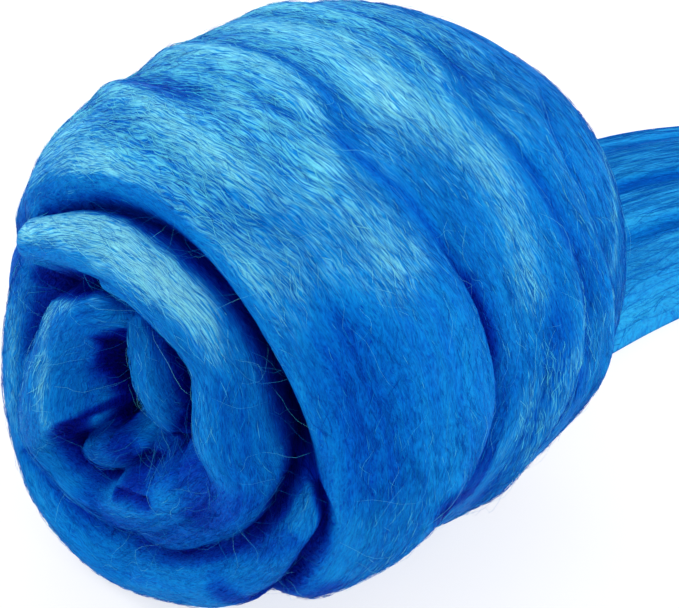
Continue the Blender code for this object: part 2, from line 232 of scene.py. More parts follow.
# ---------------------------------------------------------------- curves

def catmull_rom(a, b, c, d, t):
    """The smooth curve from b to c, where t goes from 0 to 1."""
    return 0.5 * (2 * b + (c - a) * t + (2 * a - 5 * b + 4 * c - d) * t**2 + (3 * b - a - 3 * c + d) * t**3)


def along(values, place):
    """A smooth value at a place on an open row of values, where place counts them from 0."""
    values = np.asarray(values, float)
    place = np.clip(place, 0, len(values) - 1)
    low = np.minimum(place.astype(int), len(values) - 2)
    near = [values[np.clip(low + k, 0, len(values) - 1)] for k in (-1, 0, 1, 2)]
    return catmull_rom(*near, place - low)


def around(values, clock):
    """A smooth value at a clock angle on a closed ring of evenly spaced values."""
    values = np.asarray(values, float)
    place = (clock % 360) * len(values) / 360
    low = np.floor(place).astype(int)
    ring = [values[(low + k) % len(values)] for k in (-1, 0, 1, 2)]
    return catmull_rom(*ring, place - low)


def ramp(x):
    """A smooth step from 0 to 1 as x goes from 0 to 1."""
    x = np.clip(x, 0, 1)
    return x * x * (3 - 2 * x)


def unit(vectors):
    """The vectors, each made one long."""
    return vectors / np.maximum(np.linalg.norm(vectors, axis=-1, keepdims=True), 1e-9)


# ---------------------------------------------------------------- the ball's surface

class Strand:
    """A rolled fold: balls set close together along a smooth middle line."""

    def __init__(self, centres, radii):
        self.centres = centres
        self.radii = radii
        self.tangents = unit(np.gradient(centres, axis=0))
        steps = np.linalg.norm(np.diff(centres, axis=0), axis=1)
        self.run = np.concatenate([[0], np.cumsum(steps)])
        outward = unit(centres)
        upright = (outward * self.tangents).sum(-1, keepdims=True)
        self.outward = unit(outward - upright * self.tangents)
        self.sideways = np.cross(self.tangents, self.outward)

    def reach(self, facing):
        """How far the strand reaches from the ball's centre in each direction, and by which of its balls."""
        forward = facing @ self.centres.T
        aside = np.sqrt(np.maximum((self.centres**2).sum(-1) - forward**2, 0))
        off = aside / self.radii
        cap = self.radii * np.sqrt(np.maximum(1 - off**2, 0))
        reach = forward + np.where(off < 1, cap, -FOLD_SKIRT * self.radii * (off - 1))
        reach = np.where(forward > 0, reach, 0)
        best = reach.argmax(axis=1)
        return reach[np.arange(len(facing)), best], best

    def cover(self, facing):
        """How near each direction passes to the strand's middle line: 0 outside it, 1 through the middle."""
        forward = facing @ self.centres.T
        off = ((self.centres**2).sum(-1) - forward**2) / self.radii**2
        return np.where(forward > 0, np.clip(1 - off, 0, 1) ** 1.5, 0).max(axis=1)

    def unrolled(self, places, best):
        """Places on the strand as distance along it and round it."""
        arm = places - self.centres[best]
        run = self.run[best] + (arm * self.tangents[best]).sum(-1)
        turn = np.arctan2((arm * self.sideways[best]).sum(-1), (arm * self.outward[best]).sum(-1))
        return np.stack([run, turn * self.radii[best]], -1)


def front_strand(rows):
    """A strand through the rows of one front fold."""
    rows = np.array(rows, float)
    place = np.linspace(0, len(rows) - 1, (len(rows) - 1) * FOLD_SAMPLES + 1)
    right, up, front, radius = (along(rows[:, k], place) for k in range(4))
    return Strand(np.stack([right, -front, up], -1), radius)


def far_coil():
    """The coil of turns at the far end."""
    t = np.linspace(0, 1, 120)
    turn = 2 * math.pi * FAR_COIL_TURNS * t + math.radians(200)
    out = FAR_COIL_FROM[0] + (FAR_COIL_TO[0] - FAR_COIL_FROM[0]) * t**0.85
    thick = FAR_COIL_FROM[1] + (FAR_COIL_TO[1] - FAR_COIL_FROM[1]) * t
    front = FAR_COIL_FRONT - thick + 3.5 * np.sin(turn * 0.7)
    return Strand(np.stack([out * np.cos(turn), front, out * np.sin(turn)], -1), thick)


STRANDS = [front_strand(rows) for _, rows in FOLDS] + [far_coil()]
CREASE_LINES = [(dark, deep, front_strand(rows)) for _, dark, deep, rows in CREASES]
PATCH_LINES = [(painted_darker, front_strand(rows)) for _, painted_darker, rows in PATCHES]


def angles(facing):
    """Cone and clock angles, in degrees, of directions from the ball's centre."""
    cone = np.degrees(np.arccos(np.clip(-facing[:, 1], -1, 1)))
    clock = np.degrees(np.arctan2(facing[:, 2], facing[:, 0]))
    return cone, clock


def facing_of(cone, clock):
    """Directions from the ball's centre at cone and clock angles in degrees."""
    cone, clock = np.radians(cone), np.radians(clock)
    return np.stack([np.sin(cone) * np.cos(clock), -np.cos(cone), np.sin(cone) * np.sin(clock)], -1)


def plain_radius(cone, clock):
    """The radius of the plain ball, without its turns."""
    rings = [around(row[1:], clock) for row in SECTIONS]
    rings = [around(SECTIONS[1][1:], clock + 180)] + rings + [around(SECTIONS[-2][1:], clock + 180)]
    rings = np.array(rings)
    place = cone / SECTION_STEP + 1
    low = np.minimum(place.astype(int), len(rings) - 3)
    index = np.arange(len(cone))
    near = [rings[low + k, index] for k in (-1, 0, 1, 2)]
    return catmull_rom(*near, place - low)


def turn_course(first, last, cones, clock):
    """The cone angle that a turn's edge or ridge runs at, and how far it has risen there, from 0 to 1."""
    turn = (clock - first) % 360
    span = last - first
    line = along(cones, turn / span * (len(cones) - 1))
    return line, ramp(turn / TURN_FADE) * ramp((span - turn) / TURN_FADE)


def turn_relief(cone, clock, radius):
    """The edges, ridges and hollows of the outer turns."""
    height = np.zeros_like(cone)
    for _, kind, tall, wide, first, last, cones in TURNS:
        line, fade = turn_course(first, last, cones, clock)
        away = np.radians(cone - line) * radius
        if kind == "step":
            inside = np.clip(-away / wide, 0, 1)
            shoulder = np.sqrt(1 - (1 - inside) ** 2)
            cut, reach = STEP_FOOT
            foot = cut * np.exp(-((away / reach) ** 2))
            height += tall * fade * (shoulder * ramp(1 + (away + wide) / STEP_BACK) - foot)
        else:
            height += tall * fade * np.exp(-((away / wide) ** 2))
    return height


def mouth_drop(from_end, clock, radius, lips, deep):
    """How far the surface drops inside the lip of a mouth."""
    away = np.radians(from_end - around(lips, clock)) * radius
    lip = LIP_SAG * (1 - np.sqrt(1 - (1 - np.clip(away / LIP_RADIUS, 0, 1)) ** 2))
    return lip + (deep - LIP_SAG) * ramp(-away / LIP_WALL)


def crease_depth(facing):
    """How deep, in mm, the drawn creases of the front folds are in each direction."""
    deep = np.zeros(len(facing))
    near = np.nonzero(angles(facing)[0] < FRONT_CONE)[0]
    for _, depth, line in CREASE_LINES:
        deep[near] = np.maximum(deep[near], depth * line.cover(facing[near]))
    return deep


def crease_shade(arms):
    """How much painted shade the drawn creases give at places round the ball's centre."""
    dark = np.zeros(len(arms))
    near = np.nonzero(arms[:, 1] < 0)[0]
    for darkness, _, line in CREASE_LINES:
        away = np.linalg.norm(arms[near, None] - line.centres, axis=-1) / line.radii
        dark[near] = np.maximum(dark[near], darkness * ramp(1.5 - away).max(axis=1))
    return dark


def patch_shade(arms):
    """How much painted shade (over 0) or painted highlight (under 0) the broad patches give the wool."""
    shade = np.zeros(len(arms))
    for painted_darker, line in PATCH_LINES:
        away = np.stack([np.linalg.norm(arms - centre, axis=1) / radius
                         for centre, radius in zip(line.centres, line.radii)]).min(axis=0)
        shade += painted_darker * ramp((1.9 - away) / 1.8)
    return shade


def turn_shade(facing):
    """How much painted shade lies at the feet of the outer turns' edges, in their grooves and beside their
    ridges.
    """
    cone, clock = angles(facing)
    shade = np.zeros(len(facing))
    for _, kind, tall, wide, first, last, cones in TURNS:
        line, fade = turn_course(first, last, cones, clock)
        away = np.radians(cone - line) * MEAN_RADIUS
        if kind == "step":
            place, reach = STEP_SHADE_PLACE
            shade = np.maximum(shade, STEP_SHADE * tall * fade * np.exp(-(((away - place) / reach) ** 2)))
        else:
            groove = -GROOVE_SHADE * tall * np.exp(-((away / wide) ** 2))
            beside = RIDGE_SHADE * tall * np.exp(-(((np.abs(away) - 1.5 * wide) / wide) ** 2))
            shade = np.maximum(shade, fade * np.maximum(groove, beside))
    return shade


def ball_form(facing):
    """The ball's radius in mm in each direction, with the strand that shows there (-1 for the outer turns)."""
    cone, clock = angles(facing)
    plain = plain_radius(cone, clock)
    radius = plain + turn_relief(cone, clock, plain)
    radius -= mouth_drop(cone, clock, plain, MOUTH, MOUTH_DEPTH)
    radius -= mouth_drop(180 - cone, clock, plain, FAR_MOUTH, FAR_MOUTH_DEPTH)
    shown = np.full(len(facing), -1)
    ball = np.zeros(len(facing), int)
    for k, strand in enumerate(STRANDS):
        near = np.nonzero(cone > FAR_CONE if k == len(STRANDS) - 1 else cone < FRONT_CONE)[0]
        reach, best = strand.reach(facing[near])
        old = radius[near]
        radius[near] = np.maximum(old, reach) + CREASE * np.exp(-np.abs(old - reach) / CREASE) * 0.5
        wins = reach > old
        shown[near[wins]] = k
        ball[near[wins]] = best[wins]
    return radius - crease_depth(facing), shown, ball


def on_ball(facing, lift=0.0):
    """Places on the ball's surface, in mm from the floor, raised by lift."""
    radius = ball_form(facing)[0] + lift
    places = facing * radius[:, None]
    places[:, 2] = np.maximum(places[:, 2] + CENTRE_HEIGHT, lift * 0.5)
    return places


# ---------------------------------------------------------------- the way the fibres run

GRAIN_REACH = 15.0  # mm over which a turn's edge or pleat pulls the fibres beside it into line
GRAIN_REST = 2.4  # the weight of fibres that run straight round
GRAIN_RADIUS = 70.0  # turns degrees across the ball into mm


def grain_place(cone, clock):
    """The place across the ball, in degrees of cone angle, that a fibre keeps as it runs round."""
    pull = np.zeros_like(cone)
    weight = np.full_like(cone, GRAIN_REST)
    for _, _, _, _, first, last, cones in TURNS:
        line, fade = turn_course(first, last, cones, clock)
        near = fade * np.exp(-((np.radians(cone - line) * GRAIN_RADIUS / GRAIN_REACH) ** 2))
        pull += near * (line - np.mean(cones))
        weight += near
    return cone - pull / weight


def turn_heading(facing):
    """The way the fibres of the outer turns run at each direction from the ball's centre."""
    cone, clock = angles(facing)
    step = 0.5
    across = grain_place(cone + step, clock) - grain_place(cone - step, clock)
    onward = grain_place(cone, clock + step) - grain_place(cone, clock - step)
    tilt, turn = np.radians(cone), np.radians(clock)
    by_cone = np.stack([np.cos(tilt) * np.cos(turn), np.sin(tilt), np.cos(tilt) * np.sin(turn)], -1)
    by_clock = np.stack([-np.sin(tilt) * np.sin(turn), np.zeros_like(turn), np.sin(tilt) * np.cos(turn)], -1)
    return unit(by_clock * across[:, None] - by_cone * onward[:, None])


def fibre_heading(facing):
    """The way the fibres run at each direction from the ball's centre."""
    _, shown, ball = ball_form(facing)
    heading = turn_heading(facing)
    for k, strand in enumerate(STRANDS):
        mine = shown == k
        heading[mine] = strand.tangents[ball[mine]]
    return heading


def slow_noise(points, seed):
    """A smooth random value from about -1 to 1 at each point, which changes over a distance of one."""
    shift = Vector((seed * 17.3, seed * 5.1, -seed * 9.7))
    return np.array([noise.noise(Vector(p) + shift) for p in points.tolist()])


def grain_maps(facing, places):
    """Along and across the fibres in mm at each place on the ball, for the turns and then for each strand."""
    cone, clock = angles(facing)
    plain = plain_radius(cone, clock)
    clock = (clock + 90) % 360 - 180
    girth = np.sin(np.radians(cone)) * plain
    across = np.radians(grain_place(cone, clock + 90)) * GRAIN_RADIUS
    maps = [np.stack([np.radians(clock) * girth, across], -1)]
    for k, strand in enumerate(STRANDS):
        _, best = strand.reach(facing)
        maps.append(strand.unrolled(places, best) + 37.0 * (k + 1))
    return np.array(maps)


# ---------------------------------------------------------------- making meshes

def mesh_arrays(mesh):
    """A mesh's vertex places and the vertex of each corner."""
    places = np.empty(len(mesh.vertices) * 3)
    mesh.vertices.foreach_get("co", places)
    corners = np.empty(len(mesh.loops), int)
    mesh.loops.foreach_get("vertex_index", corners)
    return places.reshape(-1, 3), corners


def set_places(mesh, places):
    """Puts a mesh's vertices at places given in mm."""
    mesh.vertices.foreach_set("co", (places * MM).astype(np.float32).ravel())
    mesh.update()


def round_mesh(name, around_steps, along_steps):
    """A closed ball of faces, with each vertex's turn round Z in radians and its row from the lower pole."""
    bm = bmesh.new()
    bmesh.ops.create_grid(bm, x_segments=around_steps, y_segments=along_steps, size=1.0)
    for vert in bm.verts:
        turn = (vert.co.x + 1) * math.pi
        rise = (vert.co.y + 1) * math.pi / 2
        vert.co = (math.sin(rise) * math.cos(turn), math.sin(rise) * math.sin(turn), -math.cos(rise))
    bmesh.ops.remove_doubles(bm, verts=bm.verts, dist=1e-5)
    bmesh.ops.recalc_face_normals(bm, faces=bm.faces)
    mesh = bpy.data.meshes.new(name)
    bm.to_mesh(mesh)
    bm.free()
    places, _ = mesh_arrays(mesh)
    turn = np.arctan2(places[:, 1], places[:, 0])
    row = along_steps - np.degrees(np.arccos(np.clip(places[:, 2], -1, 1))) / 180 * along_steps
    return mesh, turn, np.rint(row).astype(int)


def hollows(mesh, rounds):
    """How far each vertex lies below the mesh smoothed over a number of rounds, in mm."""
    places, _ = mesh_arrays(mesh)
    edges = np.empty(len(mesh.edges) * 2, int)
    mesh.edges.foreach_get("vertices", edges)
    one, two = edges.reshape(-1, 2).T
    count = np.bincount(one, minlength=len(places)) + np.bincount(two, minlength=len(places))
    smooth = places.copy()
    for _ in range(rounds):
        total = np.stack([np.bincount(one, smooth[two, k], len(places))
                          + np.bincount(two, smooth[one, k], len(places)) for k in range(3)], -1)
        smooth = 0.5 * smooth + 0.5 * total / count[:, None]
    normals = np.empty(len(places) * 3)
    mesh.vertices.foreach_get("normal", normals)
    return ((smooth - places) * normals.reshape(-1, 3)).sum(-1) / MM


def add_values(mesh, name, values):
    """Stores one number for each vertex."""
    mesh.attributes.new(name, "FLOAT", "POINT").data.foreach_set("value", values.astype(np.float32))


def finish_piece(name, mesh, material):
    """Links a finished mesh as a piece that rides on the part's one body."""
    mesh.shade_smooth()
    mesh.materials.append(material)
    piece = bpy.data.objects.new(name, mesh)
    bpy.context.scene.collection.objects.link(piece)
    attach(piece, BODY)
    return piece


def fibres_mesh(name, lines, radii, tones, painted_shade):
    """One mesh of tapered three-sided fibres along lines: an array of fibres, points and x, y, z in mm."""
    count, points, _ = lines.shape
    one, turn, row = round_mesh(name + "_one", 3, points - 1)
    bm = bmesh.new()
    bm.from_mesh(one)
    bmesh.ops.triangulate(bm, faces=bm.faces)
    faces = np.array([[v.index for v in face.verts] for face in bm.faces])
    bm.free()
    bpy.data.meshes.remove(one)
    ahead = unit(np.gradient(lines, axis=1))
    outward = unit(lines - np.array([0, 0, CENTRE_HEIGHT]))
    side = unit(np.cross(outward, ahead))
    up = np.cross(ahead, side)
    thick = radii[:, None, None] * (np.sin(np.pi * row / (points - 1)) > 1e-6)[None, :, None]
    taper = np.minimum(1, 0.45 + 0.55 * np.sin(np.pi * row / (points - 1)))[None, :, None]
    arm = np.cos(turn)[None, :, None] * side[:, row] + np.sin(turn)[None, :, None] * up[:, row]
    verts = (lines[:, row] + thick * taper * arm).reshape(-1, 3)
    every = (faces[None] + (np.arange(count) * len(row))[:, None, None]).reshape(-1, 3)
    mesh = bpy.data.meshes.new(name)
    mesh.vertices.add(len(verts))
    mesh.loops.add(every.size)
    mesh.polygons.add(len(every))
    mesh.loops.foreach_set("vertex_index", every.ravel().astype(np.int32))
    mesh.polygons.foreach_set("loop_start", np.arange(0, every.size, 3, dtype=np.int32))
    set_places(mesh, verts)
    mesh.update(calc_edges=True)
    add_values(mesh, "tone", np.repeat(tones, len(row)))
    # The painted shade at each point of each fibre.
    add_values(mesh, "painted_shade", painted_shade[:, row].ravel())
    return mesh


# ---------------------------------------------------------------- materials

def wire(tree, source, target):
    """Joins an output socket to an input socket."""
    tree.links.new(source, target)


def add_node(tree, kind, **inputs):
    """A shader node with values set on its inputs, or linked where the value is an output socket."""
    made = tree.nodes.new(kind)
    for key, value in inputs.items():
        socket = made.inputs[int(key[1:])] if key[0] == "i" and key[1:].isdigit() else made.inputs[key]
        if isinstance(value, bpy.types.NodeSocket):
            wire(tree, value, socket)
        else:
            socket.default_value = value
    return made


def streaks(tree, grain, along_mm, across_mm, detail, turn=0.0):
    """Noise drawn out along the fibres: about along_mm long and across_mm wide."""
    mapping = add_node(tree, "ShaderNodeMapping", Vector=grain)
    mapping.inputs["Rotation"].default_value = (0, 0, turn)
    mapping.inputs["Scale"].default_value = (100 / along_mm, 100 / across_mm, 1)
    made = add_node(tree, "ShaderNodeTexNoise", Vector=mapping.outputs["Vector"])
    made.inputs["Scale"].default_value = 1.0
    made.inputs["Detail"].default_value = detail
    made.inputs["Roughness"].default_value = 0.6
    return made.outputs["Fac"]


def maths(tree, operation, one, two, clamp=False):
    """A Math node's result."""
    made = add_node(tree, "ShaderNodeMath", i0=one, i1=two)
    made.operation = operation
    made.use_clamp = clamp
    return made.outputs["Value"]


def mix_colours(tree, factor, one, two):
    """One colour turning into another with a factor."""
    made = tree.nodes.new("ShaderNodeMix")
    made.data_type = "RGBA"
    for socket, value in ((made.inputs["Factor"], factor), (made.inputs["A"], one), (made.inputs["B"], two)):
        if isinstance(value, bpy.types.NodeSocket):
            wire(tree, value, socket)
        else:
            socket.default_value = value
    return made.outputs["Result"]


def rescale(tree, value, low, high, to_low=0.0, to_high=1.0):
    """A value moved from one range to another, and held inside it."""
    made = add_node(tree, "ShaderNodeMapRange", Value=value)
    for key, number in (("From Min", low), ("From Max", high), ("To Min", to_low), ("To Max", to_high)):
        made.inputs[key].default_value = number
    return made.outputs["Result"]


def new_wool(name, roughness, shine, sheen):
    """An empty wool material with its tree and shader."""
    made = bpy.data.materials.new(name)
    made.use_nodes = True
    tree = made.node_tree
    shader = tree.nodes["Principled BSDF"]
    shader.inputs["Roughness"].default_value = roughness
    shader.inputs["Metallic"].default_value = 0.0
    shader.inputs["Specular IOR Level"].default_value = shine
    shader.inputs["Sheen Weight"].default_value = sheen
    shader.inputs["Sheen Roughness"].default_value = 0.4
    shader.inputs["Sheen Tint"].default_value = (0.03, 0.5, 0.85, 1.0)
    return made, tree, shader


def grain_coordinates(tree, wander_mm):
    """The piece's grain map, bent a little so that fibres wander."""
    grain = tree.nodes.new("ShaderNodeUVMap")
    grain.uv_map = "grain"
    bend = streaks(tree, grain.outputs["UV"], 16, 8, 2.0)
    shift = maths(tree, "MULTIPLY", maths(tree, "SUBTRACT", bend, 0.5), wander_mm / 50)
    offset = add_node(tree, "ShaderNodeCombineXYZ", Y=shift)
    moved = add_node(tree, "ShaderNodeVectorMath", i0=grain.outputs["UV"], i1=offset.outputs["Vector"])
    return moved.outputs["Vector"]


FIBRE_LAYS = (
    # turned from the grain in degrees, length and spacing in mm, width as a share of the spacing, and weight
    (-34, 2.6, 0.9, 0.07, 0.8),
    (-16, 4.0, 0.8, 0.08, 1.0),
    (-4, 6.0, 0.8, 0.08, 1.0),
    (7, 5.0, 0.9, 0.08, 1.0),
    (19, 3.6, 0.9, 0.07, 1.0),
    (38, 2.4, 1.0, 0.07, 0.8),
)


def fibre_lines(tree, grain):
    """How much of a fibre lies on top at each place: thin, wavy lines that run nearly along the grain."""
    total = None
    for turn, length, spacing, width, weight in FIBRE_LAYS:
        wave = streaks(tree, grain, length, spacing, 1.0, math.radians(turn))
        off = maths(tree, "ABSOLUTE", maths(tree, "SUBTRACT", wave, 0.5), 0.0)
        line = rescale(tree, off, 0.0, width, weight, 0.0)
        total = line if total is None else maths(tree, "MAXIMUM", total, line)
    return total


def with_painted_shade(tree, shade, look):
    """A colour darkened and enriched by painted shade where the form is hollow, and lightened by painted
    highlight where that value is under 0.
    """
    painted_shade = tree.nodes.new("ShaderNodeAttribute")
    painted_shade.attribute_name = "painted_shade"
    gamma = maths(tree, "ADD", maths(tree, "MULTIPLY", painted_shade.outputs["Fac"], look.painted_shade_depth), 1.0)
    return add_node(tree, "ShaderNodeGamma", Color=shade, Gamma=gamma).outputs["Color"]


def wool_blues(look):
    """The deep, main, light and glint blue, as a socket takes them."""
    return [tuple(colour) + (1,) for colour in (look.deep_blue, look.blue, look.light_blue, look.glint_blue)]


def combed_wool(name, look):
    """Combed wool: fine fibres over locks of deep and light blue, with painted shade where the form is hollow
    and painted glints on the lit side.
    """
    made, tree, shader = new_wool(name, 0.5, 0.01, 0.01)
    grain = grain_coordinates(tree, 2.2)
    locks = streaks(tree, grain, 42, 2.6, 3.0)
    fuzz = streaks(tree, grain, 1.6, 0.34, 2.0)
    fibres = fibre_lines(tree, grain)
    deep, blue, light, bright = wool_blues(look)
    shade = mix_colours(tree, rescale(tree, fuzz, 0.35, 0.62), deep, blue)
    on_top = maths(tree, "MULTIPLY", fibres, rescale(tree, locks, 0.34, 0.66, 0.15, 0.65))
    shade = mix_colours(tree, on_top, shade, light)
    # Painted glints: streaks turned from light blue to glint blue, as many as the painted glint value at each
    # place asks.
    painted_glint = tree.nodes.new("ShaderNodeAttribute")
    painted_glint.attribute_name = "painted_glint"
    long_glints = streaks(tree, grain, 8, 0.36, 1.0, 0.06)
    short_glints = streaks(tree, grain, 4, 0.34, 1.0, -0.22)
    glints = maths(tree, "MAXIMUM", long_glints, short_glints)
    glints = maths(tree, "ADD", glints, maths(tree, "MULTIPLY", painted_glint.outputs["Fac"], 0.13))
    glints = maths(tree, "MULTIPLY", rescale(tree, glints, 0.56, 0.76), painted_glint.outputs["Fac"])
    glint = mix_colours(tree, rescale(tree, painted_glint.outputs["Fac"], 0.08, 0.5), light, bright)
    shade = mix_colours(tree, glints, shade, glint)
    wire(tree, with_painted_shade(tree, shade, look), shader.inputs["Base Color"])
    height = maths(tree, "ADD", fibres, maths(tree, "MULTIPLY", fuzz, 0.8))
    height = maths(tree, "ADD", height, maths(tree, "MULTIPLY", locks, 2.2))
    bump = add_node(tree, "ShaderNodeBump", Height=height)
    bump.inputs["Strength"].default_value = 0.7
    bump.inputs["Distance"].default_value = 0.0003
    wire(tree, bump.outputs["Normal"], shader.inputs["Normal"])
    return made


def loose_fibre_wool(name, look):
    """Single fibres, each with its own tone from deep to light blue, with painted shade where they lie in a
    crease.
    """
    made, tree, shader = new_wool(name, 0.5, 0.02, 0.0)
    tone = tree.nodes.new("ShaderNodeAttribute")
    tone.attribute_name = "tone"
    deep, blue, light, bright = wool_blues(look)
    shade = mix_colours(tree, rescale(tree, tone.outputs["Fac"], 0, 0.45), deep, blue)
    shade = mix_colours(tree, rescale(tree, tone.outputs["Fac"], 0.45, 0.75), shade, light)
    shade = mix_colours(tree, rescale(tree, tone.outputs["Fac"], 0.75, 1), shade, bright)
    wire(tree, with_painted_shade(tree, shade, look), shader.inputs["Base Color"])
    return made


def stored(maker, name, look):
    """A material that is made once and then shared."""
    return bpy.data.materials.get(name) or maker(name, look)


# ---------------------------------------------------------------- the ball

BALL_ROUND_STEPS = 384
BALL_ROWS = 256
BALL_ROW_CONES = ((0, 0), (104, 50), (216, 134), (256, 180))  # row, cone angle; even steps between

# The ball's painted shade by row and column, and its painted glints there.
PAINTED_SHADE_TABLE = np.zeros((BALL_ROWS + 1, BALL_ROUND_STEPS))
PAINTED_GLINT_TABLE = np.zeros((BALL_ROWS + 1, BALL_ROUND_STEPS))
# Painted glints: their amount where nothing else is painted, and its range.
PAINTED_GLINT_REST = 0.14
PAINTED_GLINT_GAIN = 2.0  # how much a place with painted highlight adds to that
PAINTED_GLINT_RANGE = (0.08, 0.9)
DARKEST = 2.8  # the most that all painted shade in a hollow comes to

HIDDEN_REACH = 0.050  # m; what is nearer than this adds painted shade to a place
HIDDEN_START = 0.0004  # m over the surface where a ray starts
HIDDEN_FROM = 0.30  # the hidden share where the shade starts, and over how much it grows
HIDDEN_SPAN = 0.65
PAINTED_LIGHT_TOWARDS = unit(np.array([-0.10, -0.46, 0.88]))  # the side whose upper fibres get a painted highlight, as light falls on them
PAINTED_LIGHT_FROM = 0.50  # where that starts, as the cosine of the angle away from it
PAINTED_LIGHT_BY = 0.42
PAINTED_LIGHT_OUTSIDE = 60  # mm from the ball's centre; the folds deeper inside get no painted highlight
PAINTED_LIGHT_ABOVE = -20  # mm over the ball's centre where the painted highlight starts
STEP_SHADE = 0.08  # painted shade at the foot of a turn's edge, for each mm of its height
STEP_SHADE_PLACE = (1.0, 2.4)  # mm past the edge where that is darkest, and over how many mm it fades
GROOVE_SHADE = 0.13  # the same for a groove
RIDGE_SHADE = 0.09  # and for both sides of a ridge
HIDDEN_RAYS = 20


def hidden_share(mesh, row, column):
    """How much of the space over each vertex the ball itself fills, cast at every second row and column."""
    tree = BVHTree.FromPolygons([v.co for v in mesh.vertices], [p.vertices for p in mesh.polygons])
    picked = np.nonzero(((row % 2 == 0) & (column % 2 == 0)) | (row == 0) | (row == BALL_ROWS))[0]
    k = np.arange(HIDDEN_RAYS) + 0.5
    tilt = np.arcsin(np.sqrt(k / HIDDEN_RAYS))
    turn = k * math.pi * (3 - math.sqrt(5))
    rays = np.stack([np.sin(tilt) * np.cos(turn), np.sin(tilt) * np.sin(turn), np.cos(tilt)], -1)
    table = np.zeros((BALL_ROWS // 2 + 1, BALL_ROUND_STEPS // 2))
    for index in picked.tolist():
        vert = mesh.vertices[index]
        turned = vert.normal.to_track_quat("Z", "X").to_matrix()
        start = vert.co + vert.normal * HIDDEN_START
        blocked = 0.0
        for ray in rays.tolist():
            distance = tree.ray_cast(start, turned @ Vector(ray), HIDDEN_REACH)[3]
            if distance is not None:
                blocked += 1 - distance / HIDDEN_REACH
        if row[index] in (0, BALL_ROWS):
            table[row[index] // 2] = blocked / HIDDEN_RAYS
        else:
            table[row[index] // 2, column[index] // 2] = blocked / HIDDEN_RAYS
    low_row, low_column = row // 2, column // 2
    next_row = np.minimum(low_row + row % 2, BALL_ROWS // 2)
    next_column = (low_column + column % 2) % (BALL_ROUND_STEPS // 2)
    corners = [(low_row, low_column), (low_row, next_column), (next_row, low_column), (next_row, next_column)]
    return sum(table[r, c] for r, c in corners) / 4


def smoothed(table):
    """A table of rows and a closed ring of columns, each value mixed with its neighbours."""
    table = (np.roll(table, 1, 1) + 2 * table + np.roll(table, -1, 1)) / 4
    inner = (table[:-2] + 2 * table[1:-1] + table[2:]) / 4
    return np.concatenate([table[:1], inner, table[-1:]])


def looked_up(table, facing):
    """A table's values for the ball in each direction."""
    cone, clock = angles(facing)
    cones, rows = zip(*((c, r) for r, c in BALL_ROW_CONES))
    row = np.rint(np.interp(cone, cones, rows)).astype(int)
    column = np.rint(clock / 360 * BALL_ROUND_STEPS).astype(int) % BALL_ROUND_STEPS
    return table[row, column]


